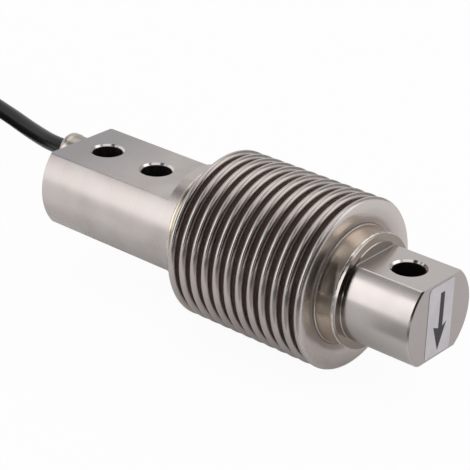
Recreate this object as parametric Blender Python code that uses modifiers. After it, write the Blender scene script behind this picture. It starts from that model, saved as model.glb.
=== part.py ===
"""Bellows load cell: a turned and milled steel measuring body with a welded bellows over its beam.

Units are metres, +Z up. The origin is the centre of the fixed end's lower flat, midway between
its two bolt holes. +X runs along the cell to its load end. The load pushes the load end down.
"""

import math

import bmesh
import bpy
from mathutils import Vector

# Clearances
GAP = 0.0003                     # between pieces that touch, and between a wire and its hole
OVERRUN = 0.002                  # how far a cutter runs past the face that it cuts

# Measuring body, fixed end
FIXED_DIAMETER = 0.0312
FIXED_THICKNESS = 0.0204         # across the two flats
FIXED_FLAT_LENGTH = 0.0430
FIXED_BODY_LENGTH = 0.0466       # back face to the edge of the bellows' cuff
EDGE_CHAMFER = 0.0004
BACK_TO_BOLT = 0.0100
BOLT_PITCH = 0.0180
BOLT_HOLE_DIAMETER = 0.0082
BOLT_CHAMFER = 0.0006

# Measuring body, load end
LOAD_DIAMETER = 0.0258
LOAD_THICKNESS = 0.0203
LOAD_BLOCK_LENGTH = 0.0197
LOAD_BOLT_TO_END = 0.0098
COLLAR_LENGTH = 0.0014           # from the bellows' rim to the load block
COLLAR_CHAMFER = 0.0002          # at the foot of the collar's face, where the load block starts

# Bellows
BELLOWS_WALL = 0.00025
CONVOLUTION_DEPTH = 0.00655      # from the fixed cuff out to the crests
CONVOLUTIONS = 12
CONVOLUTION_PITCH = 0.00369
CREST_RADIUS = 0.00110           # rounding of a crest, on its outer skin
FIXED_CUFF_DIAMETER = 0.0319
LOAD_CUFF_DIAMETER = 0.0299      # at the rim
LOAD_LIP_DIAMETER = 0.0310       # where the last disc meets the cuff
CUFF_TO_FIRST_CREST = 0.0067
LAST_CREST_TO_RIM = 0.0050
LAST_CREST_TO_LIP = 0.0004
DISC_DISH = 0.0011               # how far the last disc leans back towards its lip
LIP_FLARE = 0.0005               # the last disc's foot, from its lean to its lip
CUFF_BULGE = 0.0003              # how far the load cuff swells between its lip and its rim
FIXED_SEAT_LENGTH = 0.0052       # turned seats that the cuffs are welded to
LOAD_SEAT_LENGTH = 0.0042

# Bending beam inside the bellows
BEAM_WIDTH = 0.0120
BEAM_HEIGHT = 0.0140
BEAM_FILLET = 0.0015
BEAM_BORE_DIAMETER = 0.0104
BEAM_BORE_SPACING = 0.0200
BEAM_SLOT_HEIGHT = 0.0030

# Wire channel, gland and feedthrough
GLAND_OFFSET = 0.0100            # sideways from the cell's axis, clear of the bolt holes
GLAND_LENGTH = 0.0146            # outside the back face
GLAND_DIAMETER = 0.0100
GLAND_BAND_LENGTH = 0.0023
GLAND_GROOVE = 0.0002            # step down from the end band to the shank
GLAND_EDGE = 0.0006
GLAND_BORE_DIAMETER = 0.0078
SPIGOT_DIAMETER = 0.0078
SPIGOT_LENGTH = 0.0077
GROMMET_WALL = 0.0008
GROMMET_LENGTH = 0.0085
GROMMET_INSET = 0.0005
SHEATH_DEPTH = 0.0115            # length of cable sheath held inside the gland
CHANNEL_DIAMETER = 0.0050
PLUG_LENGTH = 0.0040
PLUG_SETBACK = 0.0008            # from the channel's mouth in the bellows
PLUG_HOLE_CLEARANCE = 0.00024    # round each core, all round

# Strain gauge circuit
GAUGE_LENGTH = 0.0070
GAUGE_WIDTH = 0.0060
GAUGE_THICKNESS = 0.0002
BOARD_LENGTH = 0.0090
BOARD_WIDTH = 0.0090
BOARD_THICKNESS = 0.0008
BOARD_CORNER = 0.0008
RESISTOR_LENGTH = 0.0032
RESISTOR_WIDTH = 0.0016
RESISTOR_HEIGHT = 0.0007
RESISTOR_SPACING = 0.0030
LEAD_LANDING = 0.0012            # how far a gauge lead lies over its pad on the board
GAUGE_LEAD_DIAMETER = 0.0005
LEAD_SLACK = 0.0002              # how far a lead rises over an edge that it crosses
CLIMB_OFFSET = 0.0049            # from a gauge's middle to where its lead turns up the beam
CORE_DIAMETER = 0.0008
CORE_SPREAD = 0.00085            # each core's distance from the channel's axis, in Y and in Z
CORES = ("red", "black", "green", "white")
PAD_INSET = 0.0006               # from the board's edge to the first core's pad
PAD_PITCH = 0.0010
CORE_LANDING = 0.0010            # how far a core lies over its pad
CORE_REACH = 0.0020              # straight out of the channel before a core turns up
CORE_RISE = 0.0060               # height gained by the first half of its bend
CORE_ARCH = 0.0012               # its highest point above the pads

# Load direction label on the end face
LABEL_WIDTH = 0.0102
LABEL_HEIGHT = 0.0192
LABEL_THICKNESS = 0.0002
LABEL_CORNER = 0.0008

# Cable
CABLE_DIAMETER = 0.0050
CABLE_SPACING = 0.0120           # between the points of its tube
HANK_START_X = -0.0990           # where the cable's lead joins the straight run
HANK_Y = 0.0010
HANK_RUN = 0.0980
HANK_INNER_RADIUS = 0.0150       # of the inner column's turns, at their centreline
HANK_COLUMNS = 2
HANK_LAYERS = 5
TIE_WIDTH = 0.0036
TIE_THICKNESS = 0.0010
TIE_HEAD = 0.0050
TIE_HEAD_HEIGHT = 0.0040
TIE_INSET = 0.0200               # from the ends of the run
TAIL_RUN = 0.0300                # from the tail's cut end to the hank's near bend
FLYING_LEAD_LENGTH = 0.0290
FLYING_LEAD_FAN = 0.0022         # between the ends of neighbouring leads
DRAIN_DIAMETER = 0.0006

# Facets
BODY_SIDES = 40
BELLOWS_SIDES = 30
HOLE_SIDES = 24
GLAND_SIDES = 24
SMALL_SIDES = 16
WIRE_HOLE_SIDES = 10
CREST_POINTS = 4
ARC_POINTS = 5

# Places that follow from the sizes
AXIS_Z = FIXED_THICKNESS / 2
BACK_X = -(BACK_TO_BOLT + BOLT_PITCH / 2)
CUFF_X = BACK_X + FIXED_BODY_LENGTH
FIRST_CREST_X = CUFF_X + CUFF_TO_FIRST_CREST
LAST_CREST_X = FIRST_CREST_X + (CONVOLUTIONS - 1) * CONVOLUTION_PITCH
RIM_X = LAST_CREST_X + LAST_CREST_TO_RIM
BLOCK_X = RIM_X + COLLAR_LENGTH
FRONT_X = BLOCK_X + LOAD_BLOCK_LENGTH
FIXED_SEAT_RADIUS = FIXED_CUFF_DIAMETER / 2 - BELLOWS_WALL - GAP
LOAD_SEAT_RADIUS = LOAD_CUFF_DIAMETER / 2 - BELLOWS_WALL - GAP
BEAM_BACK_X = CUFF_X + FIXED_SEAT_LENGTH
BEAM_FRONT_X = RIM_X - LOAD_SEAT_LENGTH
BEAM_X = (BEAM_BACK_X + BEAM_FRONT_X) / 2
GAUGE_X = (BEAM_X - BEAM_BORE_SPACING / 2, BEAM_X + BEAM_BORE_SPACING / 2)
GLAND_END_X = BACK_X - GLAND_LENGTH
SHEATH_END_X = GLAND_END_X + SHEATH_DEPTH
PLUG_FRONT_X = BEAM_BACK_X - PLUG_SETBACK
BOARD_Z = AXIS_Z + BEAM_HEIGHT / 2 + GAP
BOARD_TOP = BOARD_Z + BOARD_THICKNESS
BELLOWS_DIAMETER = FIXED_CUFF_DIAMETER + 2 * CONVOLUTION_DEPTH
SURFACE_Z = AXIS_Z - BELLOWS_DIAMETER / 2     # what the bellows would touch if laid down
HANK_OUTER_RADIUS = HANK_INNER_RADIUS + (HANK_COLUMNS - 1) * CABLE_DIAMETER
HANK_BOTTOM = SURFACE_Z + TIE_THICKNESS + GAP
HANK_TOP = HANK_BOTTOM + HANK_LAYERS * CABLE_DIAMETER
HANK_END_X = HANK_START_X - HANK_RUN
TAIL_Z = HANK_TOP + GAP + CABLE_DIAMETER / 2
TAIL_Y = HANK_Y - (HANK_INNER_RADIUS + HANK_OUTER_RADIUS) / 2
TAIL_END_X = HANK_START_X - TAIL_RUN

# The cable's lead from inside the gland to the hank, chosen by hand
LEAD_ROUTE = [
    (SHEATH_END_X, GLAND_OFFSET, AXIS_Z),
    (-0.0336, 0.0100, 0.0102),
    (-0.0420, 0.0105, 0.0101),
    (-0.0530, 0.0124, 0.0100),
    (-0.0640, 0.0149, 0.0102),
    (-0.0750, 0.0180, 0.0107),
    (-0.0832, 0.0199, 0.0112),
]
TAIL_ROUTE = [
    (HANK_END_X + 0.0080, TAIL_Y, TAIL_Z),
    (HANK_END_X + 0.0300, TAIL_Y + 0.0006, TAIL_Z),
    (HANK_END_X + 0.0520, TAIL_Y - 0.0004, TAIL_Z),
    (TAIL_END_X, TAIL_Y, TAIL_Z),
]


def clear_scene():
    for thing in list(bpy.data.objects):
        bpy.data.objects.remove(thing, do_unlink=True)


def collection(name):
    made = bpy.data.collections.get(name) or bpy.data.collections.new(name)
    if made.name not in bpy.context.scene.collection.children:
        bpy.context.scene.collection.children.link(made)
    return made


def material(name, colour, roughness, metallic=0.0):
    made = bpy.data.materials.get(name) or bpy.data.materials.new(name)
    made.use_nodes = True
    made.diffuse_color = (*colour, 1.0)
    shader = made.node_tree.nodes["Principled BSDF"]
    shader.inputs["Base Color"].default_value = (*colour, 1.0)
    shader.inputs["Roughness"].default_value = roughness
    shader.inputs["Metallic"].default_value = metallic
    return made


def put(name, data, finish=None, at=(0.0, 0.0, 0.0), turn=(0.0, 0.0, 0.0)):
    """A visible piece, or a cutter where no finish is given."""
    piece = bpy.data.objects.new(name, data)
    piece.location = at
    piece.rotation_euler = turn
    if finish:
        PIECES.objects.link(piece)
        data.materials.append(finish)
    else:
        CUTTERS.objects.link(piece)
        piece.hide_render = True
        piece.display_type = "WIRE"
    return piece


ALONG_X = (0.0, math.pi / 2, 0.0)       # turns a piece made on Z to lie along +X


def turned(name, profile, sides, finish=None, at=(0.0, 0.0, 0.0), turn=ALONG_X):
    """A profile of (station, radius) points, in the order of their stations, spun round its axis."""
    mesh = bpy.data.meshes.new(name)
    points = [(radius, 0.0, station) for station, radius in reversed(profile)]
    edges = [(i, i + 1) for i in range(len(points) - 1)]
    mesh.from_pydata(points, edges, [])
    piece = put(name, mesh, finish, at, turn)
    screw = piece.modifiers.new("Turn", "SCREW")
    screw.axis = "Z"
    screw.angle = math.tau
    screw.steps = screw.render_steps = sides
    screw.use_merge_vertices = True
    screw.merge_threshold = 0.000001
    return piece


def box(name, low, high, finish=None):
    mesh = bpy.data.meshes.new(name)
    shape = bmesh.new()
    bmesh.ops.create_cube(shape, size=1.0)
    size = [b - a for a, b in zip(low, high)]
    middle = [(a + b) / 2 for a, b in zip(low, high)]
    bmesh.ops.scale(shape, vec=size, verts=shape.verts)
    shape.to_mesh(mesh)
    shape.free()
    return put(name, mesh, finish, middle)


def curve_to_mesh(piece, finish=None):
    """The same piece as a mesh, with its caps welded to its sides."""
    bpy.context.view_layer.update()
    seen = piece.evaluated_get(bpy.context.evaluated_depsgraph_get())
    mesh = bpy.data.meshes.new_from_object(seen)
    shape = bmesh.new()
    shape.from_mesh(mesh)
    bmesh.ops.remove_doubles(shape, verts=shape.verts, dist=0.000001)
    bmesh.ops.recalc_face_normals(shape, faces=shape.faces)
    shape.to_mesh(mesh)
    shape.free()
    mesh.materials.clear()
    name, place = piece.name, piece.matrix_world.copy()
    bpy.data.objects.remove(piece, do_unlink=True)
    made = put(name, mesh, finish)
    made.matrix_world = place
    return made


def plate(name, outlines, thickness, finish=None, at=(0.0, 0.0, 0.0), turn=(0.0, 0.0, 0.0)):
    """Flat outlines, the first one outside and any others holes, given a thickness about their plane."""
    curve = bpy.data.curves.new(name, "CURVE")
    curve.dimensions = "2D"
    curve.fill_mode = "BOTH"
    curve.extrude = thickness / 2
    for outline in outlines:
        spline = curve.splines.new("POLY")
        spline.points.add(len(outline) - 1)
        for point, (u, v) in zip(spline.points, outline):
            point.co = (u, v, 0.0, 1.0)
        spline.use_cyclic_u = True
    return curve_to_mesh(put(name, curve, None, at, turn), finish)


def tube(name, route, diameter, finish, resolution=2):
    curve = bpy.data.curves.new(name, "CURVE")
    curve.dimensions = "3D"
    curve.bevel_depth = diameter / 2
    curve.bevel_resolution = resolution
    curve.use_fill_caps = True
    spline = curve.splines.new("POLY")
    spline.points.add(len(route) - 1)
    for point, place in zip(spline.points, route):
        point.co = (*place, 1.0)
    return curve_to_mesh(put(name, curve), finish)


def smooth_route(points, spacing):
    """Points along a smooth curve through the given ones, about a spacing apart."""
    points = [Vector(p) for p in points]
    padded = [points[0] * 2 - points[1], *points, points[-1] * 2 - points[-2]]
    route = []
    for before, a, b, after in zip(padded, padded[1:], padded[2:], padded[3:]):
        steps = max(1, round((b - a).length / spacing))
        for i in range(steps):
            t = i / steps
            bend = 2 * before - 5 * a + 4 * b - after
            twist = 3 * a - before - 3 * b + after
            route.append((2 * a + (b - before) * t + bend * t * t + twist * t ** 3) / 2)
    return [*route, points[-1]]


def arc(centre, radius, start, end, points=ARC_POINTS):
    """Points on an arc, its angles in degrees."""
    angles = [math.radians(start + (end - start) * i / (points - 1)) for i in range(points)]
    return [(centre[0] + radius * math.cos(a), centre[1] + radius * math.sin(a)) for a in angles]


def rounded_rectangle(length, width, radius, points=ARC_POINTS):
    u, v = length / 2 - radius, width / 2 - radius
    corners = [((u, v), 0), ((-u, v), 90), ((-u, -v), 180), ((u, -v), 270)]
    return [p for centre, start in corners for p in arc(centre, radius, start, start + 90, points)]


def stadium(run, radius, points=13):
    """A straight run along U with round ends, its middle at the origin."""
    return arc((run / 2, 0), radius, -90, 90, points) + arc((-run / 2, 0), radius, 90, 270, points)


def cut(piece, *cutters):
    for cutter in cutters:
        step = piece.modifiers.new("Cut " + cutter.name, "BOOLEAN")
        step.operation = "DIFFERENCE"
        step.solver = "EXACT"
        step.object = cutter


def join(piece, other):
    step = piece.modifiers.new("Join " + other.name, "BOOLEAN")
    step.operation = "UNION"
    step.solver = "EXACT"
    step.object = other


FACING_Y = (math.pi / 2, 0.0, 0.0)      # stands an outline up in the XZ plane
FACING_X = (math.pi / 2, 0.0, math.pi / 2)   # stands an outline up in the YZ plane


def body_profile():
    """The turned blank of the measuring body, from its back face to its load face."""
    fixed, load = FIXED_DIAMETER / 2, LOAD_DIAMETER / 2
    land = LOAD_CUFF_DIAMETER / 2
    return [
        (BACK_X, 0.0),
        (BACK_X, fixed - EDGE_CHAMFER),
        (BACK_X + EDGE_CHAMFER, fixed),
        (CUFF_X - GAP, fixed),
        (CUFF_X - GAP, FIXED_SEAT_RADIUS),
        (BEAM_BACK_X, FIXED_SEAT_RADIUS),
        (BEAM_FRONT_X, LOAD_SEAT_RADIUS),
        (RIM_X + GAP, LOAD_SEAT_RADIUS),
        (RIM_X + GAP, land),
        (BLOCK_X - COLLAR_CHAMFER, land),
        (BLOCK_X - COLLAR_CHAMFER, load + COLLAR_CHAMFER),
        (BLOCK_X, load),
        (FRONT_X - EDGE_CHAMFER, load),
        (FRONT_X, load - EDGE_CHAMFER),
        (FRONT_X, 0.0),
    ]


def flat_cutters(name, start, end, thickness, reach):
    """Two blocks that mill the flats above and below the axis."""
    for side, word in ((1, "top"), (-1, "bottom")):
        faces = sorted((AXIS_Z + side * thickness / 2, AXIS_Z + side * reach))
        yield box(f"{name}_{word}", (start, -reach, faces[0]), (end, reach, faces[1]))


def bolt_cutter(name, x, thickness):
    """A bolt hole with a chamfer at each mouth."""
    radius, half = BOLT_HOLE_DIAMETER / 2, thickness / 2
    wide = radius + BOLT_CHAMFER
    profile = [
        (-half - OVERRUN, 0.0), (-half - OVERRUN, wide), (-half, wide),
        (-half + BOLT_CHAMFER, radius), (half - BOLT_CHAMFER, radius),
        (half, wide), (half + OVERRUN, wide), (half + OVERRUN, 0.0),
    ]
    return turned(name, profile, HOLE_SIDES, None, (x, 0.0, AXIS_Z), (0.0, 0.0, 0.0))


def beam_pocket(name, across, turn, shift):
    """A rounded pocket beside the beam; across is the beam's size between it and its twin."""
    reach = FIXED_CUFF_DIAMETER / 2
    depth = reach - across / 2
    outline = rounded_rectangle(BEAM_FRONT_X - BEAM_BACK_X, 2 * depth, BEAM_FILLET)
    place = Vector((BEAM_X, 0.0, AXIS_Z)) + Vector(shift) * reach
    return plate(name, [outline], 2 * reach + OVERRUN, None, place, turn)


def dumbbell_outline():
    """Two bores joined by a slot, seen from the side of the beam."""
    radius, half = BEAM_BORE_DIAMETER / 2, BEAM_BORE_SPACING / 2
    meet = math.degrees(math.asin(BEAM_SLOT_HEIGHT / 2 / radius))
    right = arc((half, 0), radius, meet - 180, 180 - meet, 4 * ARC_POINTS)
    left = arc((-half, 0), radius, meet, 360 - meet, 4 * ARC_POINTS)
    return right + left


def measuring_body(finish):
    body = turned("measuring_body", body_profile(), BODY_SIDES, finish, (0.0, 0.0, AXIS_Z))
    reach = FIXED_DIAMETER
    flat_end = BACK_X + FIXED_FLAT_LENGTH
    cut(body, *flat_cutters("fixed_flat", BACK_X - OVERRUN, flat_end, FIXED_THICKNESS, reach))
    cut(body, *flat_cutters("load_flat", BLOCK_X, FRONT_X + OVERRUN, LOAD_THICKNESS, reach))
    for word, turn, shift, across in (
        ("top", FACING_Y, (0, 0, 1), BEAM_HEIGHT),
        ("bottom", FACING_Y, (0, 0, -1), BEAM_HEIGHT),
        ("left", (0.0, 0.0, 0.0), (0, 1, 0), BEAM_WIDTH),
        ("right", (0.0, 0.0, 0.0), (0, -1, 0), BEAM_WIDTH),
    ):
        cut(body, beam_pocket(f"beam_pocket_{word}", across, turn, shift))
    cut(body, plate("dumbbell_bore", [dumbbell_outline()], BEAM_WIDTH + 2 * OVERRUN, None,
                    (BEAM_X, 0.0, AXIS_Z), FACING_Y))
    for name, x, thickness in (
        ("back_bolt", BACK_X + BACK_TO_BOLT, FIXED_THICKNESS),
        ("front_bolt", BACK_X + BACK_TO_BOLT + BOLT_PITCH, FIXED_THICKNESS),
        ("load_bolt", FRONT_X - LOAD_BOLT_TO_END, LOAD_THICKNESS),
    ):
        cut(body, bolt_cutter(name, x, thickness))
    socket, channel = SPIGOT_DIAMETER / 2 + GAP, CHANNEL_DIAMETER / 2
    bottom = BACK_X + SPIGOT_LENGTH + GAP
    profile = [
        (BACK_X - OVERRUN, 0.0), (BACK_X - OVERRUN, socket), (bottom, socket),
        (bottom, channel), (BEAM_BACK_X + OVERRUN, channel), (BEAM_BACK_X + OVERRUN, 0.0),
    ]
    cut(body, turned("wire_channel", profile, SMALL_SIDES, None, (0.0, GLAND_OFFSET, AXIS_Z)))
    return body


def bellows_profile():
    """The outer skin of the bellows, from the fixed cuff's edge to the load cuff's rim."""
    outer = BELLOWS_DIAMETER / 2
    crest = outer - CREST_RADIUS
    root_radius = CONVOLUTION_PITCH / 2 - CREST_RADIUS
    root = FIXED_CUFF_DIAMETER / 2
    half = root_radius / 2
    profile = [(CUFF_X, root), (FIRST_CREST_X - CREST_RADIUS - half, root)]
    for i in range(CONVOLUTIONS):
        x = FIRST_CREST_X + i * CONVOLUTION_PITCH
        rise = [math.pi * k / (CREST_POINTS - 1) for k in range(CREST_POINTS)]
        profile += [
            (x - CREST_RADIUS * math.cos(a), crest + CREST_RADIUS * math.sin(a)) for a in rise
        ]
        if i < CONVOLUTIONS - 1:
            valley = x + CONVOLUTION_PITCH / 2
            profile += [(valley - half, root), (valley + half, root)]
    lip, rim = LOAD_LIP_DIAMETER / 2, LOAD_CUFF_DIAMETER / 2
    face = LAST_CREST_X + CREST_RADIUS
    lip_x = LAST_CREST_X + LAST_CREST_TO_LIP
    span = RIM_X - lip_x
    profile += [
        (face - DISC_DISH / 2, (crest + lip) / 2),
        (face - DISC_DISH, lip + LIP_FLARE),
        (lip_x, lip),
        (lip_x + span / 3, lip - (lip - rim) / 4 + CUFF_BULGE),
        (lip_x + 2 * span / 3, lip - (lip - rim) / 2 + CUFF_BULGE),
        (RIM_X, rim),
    ]
    return profile


def bellows(finish):
    piece = turned("bellows", bellows_profile(), BELLOWS_SIDES, finish, (0.0, 0.0, AXIS_Z))
    wall = piece.modifiers.new("Wall", "SOLIDIFY")
    wall.thickness = BELLOWS_WALL
    wall.offset = -1.0
    wall.use_even_offset = True
    return piece


def gland(steel, rubber):
    outer = GLAND_DIAMETER / 2
    shank = outer - GLAND_GROOVE
    bore = GLAND_BORE_DIAMETER / 2
    channel = CHANNEL_DIAMETER / 2
    band_x = GLAND_END_X + GLAND_BAND_LENGTH
    floor_x = SHEATH_END_X + GAP
    spigot_x = BACK_X + SPIGOT_LENGTH
    spigot = SPIGOT_DIAMETER / 2
    axis = (0.0, GLAND_OFFSET, AXIS_Z)
    # The profile closes on itself: along the outside, then back along the bore.
    profile = [
        (GLAND_END_X, bore), (GLAND_END_X, outer - GLAND_EDGE), (GLAND_END_X + GLAND_EDGE, outer),
        (band_x, outer), (band_x, shank), (BACK_X - GAP, shank), (BACK_X - GAP, spigot),
        (spigot_x, spigot), (spigot_x, channel), (floor_x, channel), (floor_x, bore),
        (GLAND_END_X, bore),
    ]
    turned("gland_body", profile, GLAND_SIDES, steel, axis)
    inner = CABLE_DIAMETER / 2 + GAP
    start = GLAND_END_X + GROMMET_INSET
    end = start + GROMMET_LENGTH
    thick = inner + GROMMET_WALL
    ring = [(start, inner), (start, thick), (end, thick), (end, inner), (start, inner)]
    turned("gland_grommet", ring, SMALL_SIDES, rubber, axis)


def core_offsets():
    """Where each core runs round the channel's axis, as (dy, dz)."""
    return [(dy * CORE_SPREAD, dz * CORE_SPREAD) for dy, dz in ((1, 1), (1, -1), (-1, -1), (-1, 1))]


def feedthrough_plug(finish):
    radius = CHANNEL_DIAMETER / 2 - GAP
    back = PLUG_FRONT_X - PLUG_LENGTH
    profile = [(back, 0.0), (back, radius), (PLUG_FRONT_X, radius), (PLUG_FRONT_X, 0.0)]
    plug = turned("feedthrough_plug", profile, SMALL_SIDES, finish, (0.0, GLAND_OFFSET, AXIS_Z))
    hole = CORE_DIAMETER / 2 + PLUG_HOLE_CLEARANCE
    bore = [(back - OVERRUN, 0.0), (back - OVERRUN, hole),
            (PLUG_FRONT_X + OVERRUN, hole), (PLUG_FRONT_X + OVERRUN, 0.0)]
    for colour, (dy, dz) in zip(CORES, core_offsets()):
        place = (0.0, GLAND_OFFSET + dy, AXIS_Z + dz)
        cut(plug, turned(f"plug_hole_{colour}", bore, WIRE_HOLE_SIDES, None, place))


def circuit(finishes):
    """Four strain gauges on the beam, their leads, and the terminal board with its resistors."""
    half = BEAM_HEIGHT / 2
    for x, end in zip(GAUGE_X, ("back", "front")):
        for side, word in ((1, "top"), (-1, "bottom")):
            near = AXIS_Z + side * (half + GAP)
            far = near + side * GAUGE_THICKNESS
            low = (x - GAUGE_LENGTH / 2, -GAUGE_WIDTH / 2, min(near, far))
            high = (x + GAUGE_LENGTH / 2, GAUGE_WIDTH / 2, max(near, far))
            box(f"strain_gauge_{word}_{end}", low, high, finishes["foil"])
    outline = rounded_rectangle(BOARD_LENGTH, BOARD_WIDTH, BOARD_CORNER, 3)
    plate("terminal_board", [outline], BOARD_THICKNESS, finishes["board"],
          (BEAM_X, 0.0, BOARD_Z + BOARD_THICKNESS / 2))
    for i, word in ((-0.5, "zero"), (0.5, "span")):
        y = i * RESISTOR_SPACING
        low = (BEAM_X - RESISTOR_LENGTH / 2, y - RESISTOR_WIDTH / 2, BOARD_TOP + GAP)
        high = (BEAM_X + RESISTOR_LENGTH / 2, y + RESISTOR_WIDTH / 2,
                BOARD_TOP + GAP + RESISTOR_HEIGHT)
        box(f"{word}_resistor", low, high, finishes["ceramic"])
    gauge_leads(finishes["enamel"])


def gauge_leads(finish):
    """A lead from each gauge to the board: straight up from the top ones, round the beam below."""
    radius = GAUGE_LEAD_DIAMETER / 2
    on_gauge = GAP + GAUGE_THICKNESS + GAP + radius
    above = AXIS_Z + BEAM_HEIGHT / 2
    below = AXIS_Z - BEAM_HEIGHT / 2
    pad = BOARD_TOP + GAP + radius
    side = -(BEAM_WIDTH / 2 + GAP + GAUGE_LEAD_DIAMETER)
    slack = LEAD_SLACK
    for x, inward, end in ((GAUGE_X[0], 1, "back"), (GAUGE_X[1], -1, "front")):
        edge = BEAM_X - inward * BOARD_LENGTH / 2
        tab = x + inward * GAUGE_LENGTH / 3
        climb = x + inward * CLIMB_OFFSET
        land = edge + inward * LEAD_LANDING
        top = [
            (tab, 0.0, above + on_gauge),
            (edge - inward * LEAD_LANDING, 0.0, above + on_gauge + slack),
            (edge + inward * slack, 0.0, pad + slack),
            (land, 0.0, pad),
        ]
        tube(f"gauge_lead_top_{end}", smooth_route(top, 0.0010), GAUGE_LEAD_DIAMETER, finish, 1)
        under = [
            (tab, 0.0, below - on_gauge),
            (climb, -BEAM_WIDTH / 4, below - on_gauge),
            (climb, side + 3 * slack, below - on_gauge + slack),
            (climb, side, below + 5 * slack),
            (climb, side, AXIS_Z),
            (climb, side, above - 4 * slack),
            (climb + inward * 3 * slack, side + 6 * slack, above + on_gauge),
            (edge - inward * slack, 4 * slack - BOARD_WIDTH / 2, pad + 2 * slack),
            (land, 6 * slack - BOARD_WIDTH / 2, pad),
        ]
        tube(f"gauge_lead_bottom_{end}", smooth_route(under, 0.0022), GAUGE_LEAD_DIAMETER, finish, 1)


def inner_cores(finishes):
    """The cable's cores from the sheath's end through the channel to the board's back edge."""
    edge = BEAM_X - BOARD_LENGTH / 2
    pad_z = BOARD_TOP + GAP + CORE_DIAMETER / 2
    landing = {"black": 0, "red": 1, "green": 2, "white": 3}
    for colour, (dy, dz) in zip(CORES, core_offsets()):
        y, z = GLAND_OFFSET + dy, AXIS_Z + dz
        pad_y = BOARD_WIDTH / 2 - PAD_INSET - landing[colour] * PAD_PITCH
        route = [
            (SHEATH_END_X + GAP, y, z),
            (BACK_X, y, z),
            (PLUG_FRONT_X, y, z),
            (BEAM_BACK_X + CORE_REACH, y, z),
            (BEAM_BACK_X + CORE_REACH + CORE_RISE, y - CORE_REACH, z + CORE_RISE),
            (edge - CORE_REACH - CORE_LANDING, (y + pad_y) / 2, pad_z + CORE_ARCH + dz / 2),
            (edge + CORE_LANDING, pad_y, pad_z),
        ]
        tube(f"core_{colour}", smooth_route(route, 0.0060), CORE_DIAMETER, finishes[colour], 1)


def direction_label(finish):
    outline = rounded_rectangle(LABEL_WIDTH, LABEL_HEIGHT, LABEL_CORNER, 3)
    place = (FRONT_X + GAP + LABEL_THICKNESS / 2, 0.0, AXIS_Z)
    plate("direction_label", [outline], LABEL_THICKNESS, finish, place, FACING_X)


def cable(finishes):
    tube("cable", smooth_route(LEAD_ROUTE, CABLE_SPACING), CABLE_DIAMETER, finishes["jacket"])
    outside = stadium(HANK_RUN, HANK_OUTER_RADIUS + CABLE_DIAMETER / 2)
    inside = stadium(HANK_RUN, HANK_INNER_RADIUS - CABLE_DIAMETER / 2)
    middle = (HANK_START_X - HANK_RUN / 2, HANK_Y, (HANK_BOTTOM + HANK_TOP) / 2)
    plate("cable_hank", [outside, inside], HANK_TOP - HANK_BOTTOM, finishes["jacket"], middle)
    tube("cable_tail", smooth_route(TAIL_ROUTE, CABLE_SPACING), CABLE_DIAMETER, finishes["jacket"])
    cable_tie("cable_tie_left", 1, HANK_START_X - TIE_INSET, HANK_TOP, finishes["nylon"])
    cable_tie("cable_tie_right", -1, HANK_END_X + TIE_INSET, HANK_TOP + CABLE_DIAMETER + GAP,
              finishes["nylon"])
    flying_leads(finishes)


def cable_tie(name, side, x, top, finish):
    """A strap round one side of the hank, with its head on the outside."""
    inner = HANK_INNER_RADIUS - CABLE_DIAMETER / 2 - GAP
    outer = HANK_OUTER_RADIUS + CABLE_DIAMETER / 2 + GAP
    low, high = HANK_BOTTOM - GAP, top + GAP
    width, height = outer - inner, high - low
    hole = rounded_rectangle(width, height, TIE_THICKNESS / 2, 3)
    band = rounded_rectangle(width + 2 * TIE_THICKNESS, height + 2 * TIE_THICKNESS,
                             1.5 * TIE_THICKNESS, 3)
    place = (x, HANK_Y + side * (inner + outer) / 2, (low + high) / 2)
    strap = plate(name, [band, hole], TIE_WIDTH, finish, place, FACING_X)
    y, foot = place[1], high + TIE_THICKNESS / 2
    head = box(name + "_head", (x - TIE_HEAD / 2, y - TIE_HEAD / 2, foot),
               (x + TIE_HEAD / 2, y + TIE_HEAD / 2, foot + TIE_HEAD_HEIGHT))
    join(strap, head)


def flying_leads(finishes):
    """The cores and the drain wire that leave the tail's end, fanned out on top of the hank."""
    start = TAIL_END_X + GAP
    places = [*core_offsets(), (0.0, 0.0)]
    slots = (2, 1, -1, -2, 0)
    for colour, slot, (dy, dz) in zip((*CORES, "drain"), slots, places):
        thick = DRAIN_DIAMETER if colour == "drain" else CORE_DIAMETER
        rest = HANK_TOP + GAP + thick / 2
        fan = TAIL_Y + slot * FLYING_LEAD_FAN
        route = [
            (start, TAIL_Y + dy, TAIL_Z + dz),
            (start + FLYING_LEAD_LENGTH / 10, TAIL_Y + dy, TAIL_Z + dz),
            (start + FLYING_LEAD_LENGTH / 2, (TAIL_Y + dy + fan) / 2, (TAIL_Z + dz + rest) / 2),
            (start + FLYING_LEAD_LENGTH * 4 / 5, (TAIL_Y + 4 * fan) / 5, rest + GAP),
            (start + FLYING_LEAD_LENGTH, fan, rest),
        ]
        tube(f"lead_{colour}", smooth_route(route, 0.0050), thick, finishes[colour], 1)


PIECES = collection("bellows_load_cell")
CUTTERS = collection("cutters")


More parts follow.
